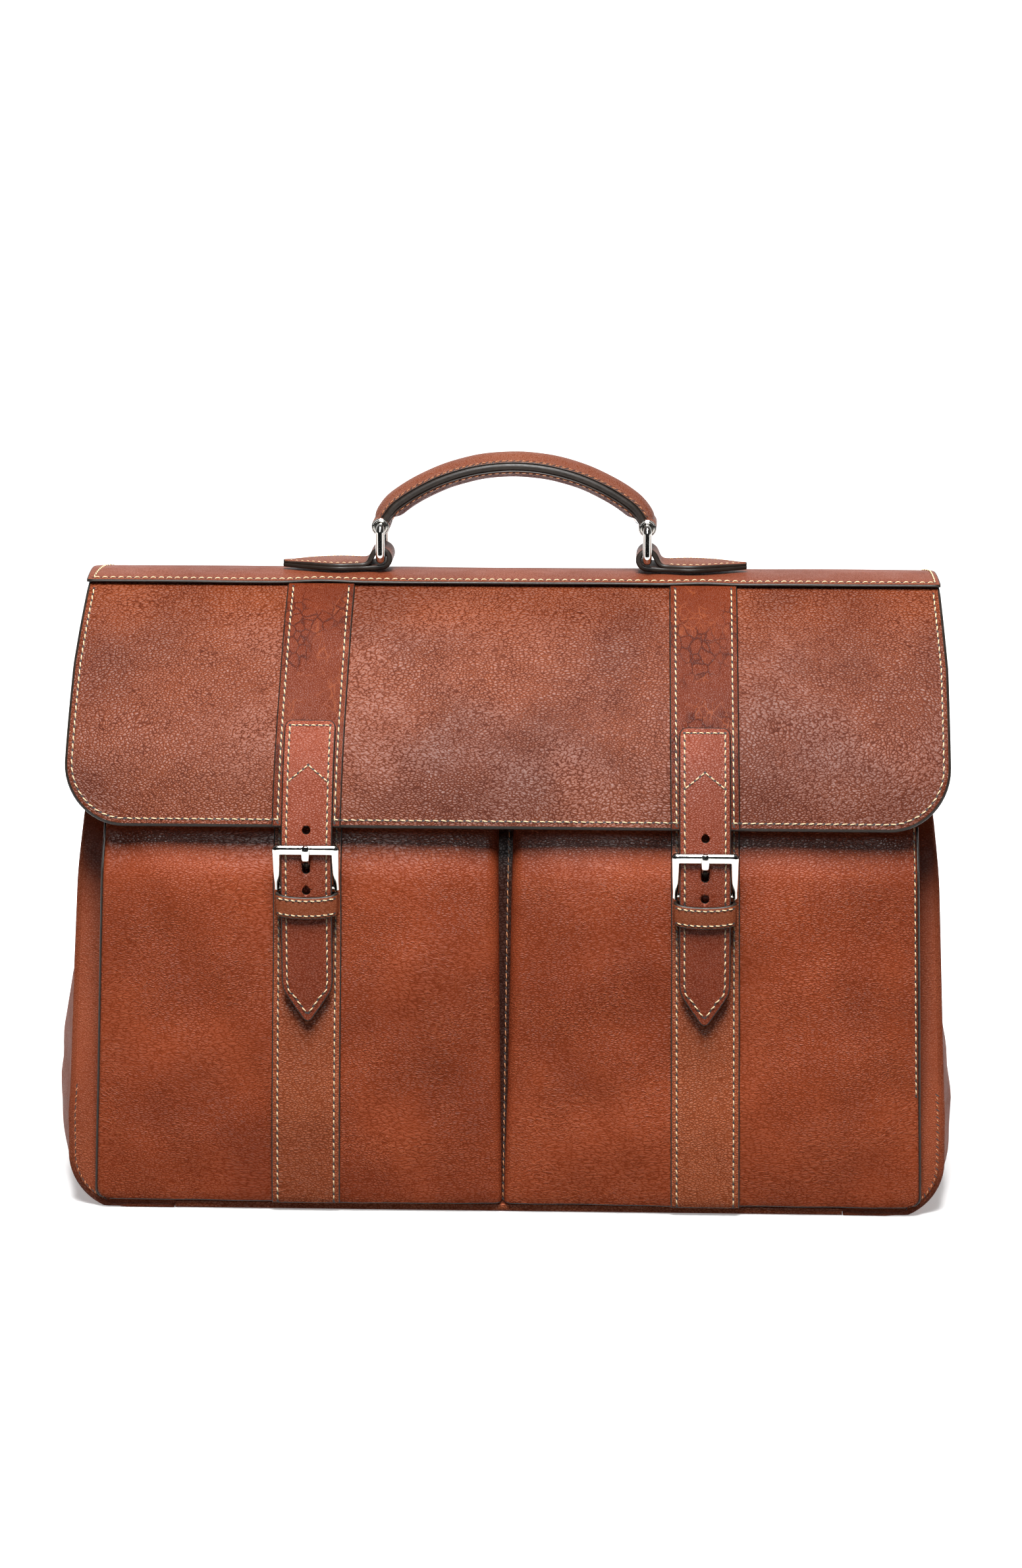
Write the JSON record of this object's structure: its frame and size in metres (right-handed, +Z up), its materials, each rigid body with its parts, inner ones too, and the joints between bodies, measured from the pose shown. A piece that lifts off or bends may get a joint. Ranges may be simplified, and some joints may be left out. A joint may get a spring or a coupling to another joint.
{
  "type": "leather briefcase",
  "caption": "Flap-over leather briefcase with front pockets, buckled straps on hidden snaps and a padded carry handle on swinging metal rings.",
  "frame": {"origin": "centre of the footprint, on the surface the case stands on", "axes": "+X along the width, to the right seen from the front; -Y to the front; +Z up"},
  "size_m": [0.419, 0.1419, 0.3476],
  "materials": {
    "body_leather": "grained, semi-gloss",
    "flap_leather": "pebbled, semi-gloss",
    "band_leather": "smooth, semi-gloss",
    "edge_leather": "painted edge, satin",
    "lining": "suede",
    "board": "matte",
    "steel": "polished nickel"
  },
  "bodies": {
    "case": {"back_panel": "body_leather", "front_panel": "body_leather", "gusset_left": "body_leather", "gusset_right": "body_leather", "base_panel": "body_leather", "base_board": "board", "lining_back": "lining", "lining_front": "lining", "inner_pocket": "lining", "pocket_left": "body_leather", "pocket_right": "body_leather", "centre_strip": "edge_leather", "lower_band_left": "band_leather", "lower_band_right": "band_leather", "snap_socket_left": "steel", "snap_socket_right": "steel"},
    "spine": {"spine_panel": "flap_leather", "spine_board": "board", "handle_tab_left": "flap_leather", "handle_tab_right": "flap_leather"},
    "flap": {"flap_panel": "flap_leather", "flap_lining": "lining", "flap_band_left": "band_leather", "flap_band_right": "band_leather", "strap_anchor_left": "band_leather", "strap_anchor_right": "band_leather"},
    "closure_left": {"strap_left": "band_leather", "buckle_tab_left": "band_leather", "keeper_left": "band_leather", "snap_stud_left": "steel"},
    "buckle_left": {"buckle_frame_left": "steel"},
    "tongue_left": {"prong_left": "steel"},
    "closure_right": {"strap_right": "band_leather", "buckle_tab_right": "band_leather", "keeper_right": "band_leather", "snap_stud_right": "steel"},
    "buckle_right": {"buckle_frame_right": "steel"},
    "tongue_right": {"prong_right": "steel"},
    "ring_left": {"link_left": "steel"},
    "ring_right": {"link_right": "steel"},
    "grip": {"handle_core": "edge_leather", "handle_top": "flap_leather", "handle_underside": "flap_leather", "handle_tube_left": "steel", "handle_tube_right": "steel"}
  },
  "joints": [
    {"name": "spine_hinge", "type": "hinge", "parent": "case", "child": "spine", "pos_m": [0, 0.0586, 0.2866], "axis": [-1, 0, 0], "range_deg": [0, 95]},
    {"name": "flap_hinge", "type": "hinge", "parent": "spine", "child": "flap", "pos_m": [0, 0.0102, 0.287], "axis": [-1, 0, 0], "range_deg": [0, 130]},
    {"name": "closure_left_hinge", "type": "hinge", "parent": "flap", "child": "closure_left", "pos_m": [-0.0915, -0.05815, 0.2051], "axis": [-1, 0, 0], "range_deg": [0, 90]},
    {"name": "buckle_left_tilt", "type": "hinge", "parent": "closure_left", "child": "buckle_left", "pos_m": [-0.0915, -0.0614, 0.1586], "axis": [1, 0, 0], "range_deg": [0, 3]},
    {"name": "prong_left_play", "type": "hinge", "parent": "buckle_left", "child": "tongue_left", "pos_m": [-0.0915, -0.0614, 0.1586], "axis": [1, 0, 0], "range_deg": [0, 2]},
    {"name": "closure_right_hinge", "type": "hinge", "parent": "flap", "child": "closure_right", "pos_m": [0.0915, -0.05815, 0.2051], "axis": [-1, 0, 0], "range_deg": [0, 90]},
    {"name": "buckle_right_tilt", "type": "hinge", "parent": "closure_right", "child": "buckle_right", "pos_m": [0.0915, -0.0614, 0.1562], "axis": [1, 0, 0], "range_deg": [0, 3]},
    {"name": "prong_right_play", "type": "hinge", "parent": "buckle_right", "child": "tongue_right", "pos_m": [0.0915, -0.0614, 0.1562], "axis": [1, 0, 0], "range_deg": [0, 2]},
    {"name": "handle_swing", "type": "hinge", "parent": "spine", "child": "ring_left", "pos_m": [-0.063, 0.035, 0.2979], "axis": [0, 1, 0], "range_deg": [-70, 70]},
    {"name": "handle_level", "type": "hinge", "parent": "ring_left", "child": "grip", "pos_m": [-0.063, 0.035, 0.3132], "axis": [0, 1, 0], "range_deg": [-70, 70]},
    {"name": "ring_right_swing", "type": "hinge", "parent": "spine", "child": "ring_right", "pos_m": [0.063, 0.035, 0.2979], "axis": [0, 1, 0], "range_deg": [-70, 70]}
  ],
  "couplings": [
    {"joint": "handle_level", "follows": "handle_swing", "ratio": -1},
    {"joint": "ring_right_swing", "follows": "handle_swing", "ratio": 1}
  ]
}
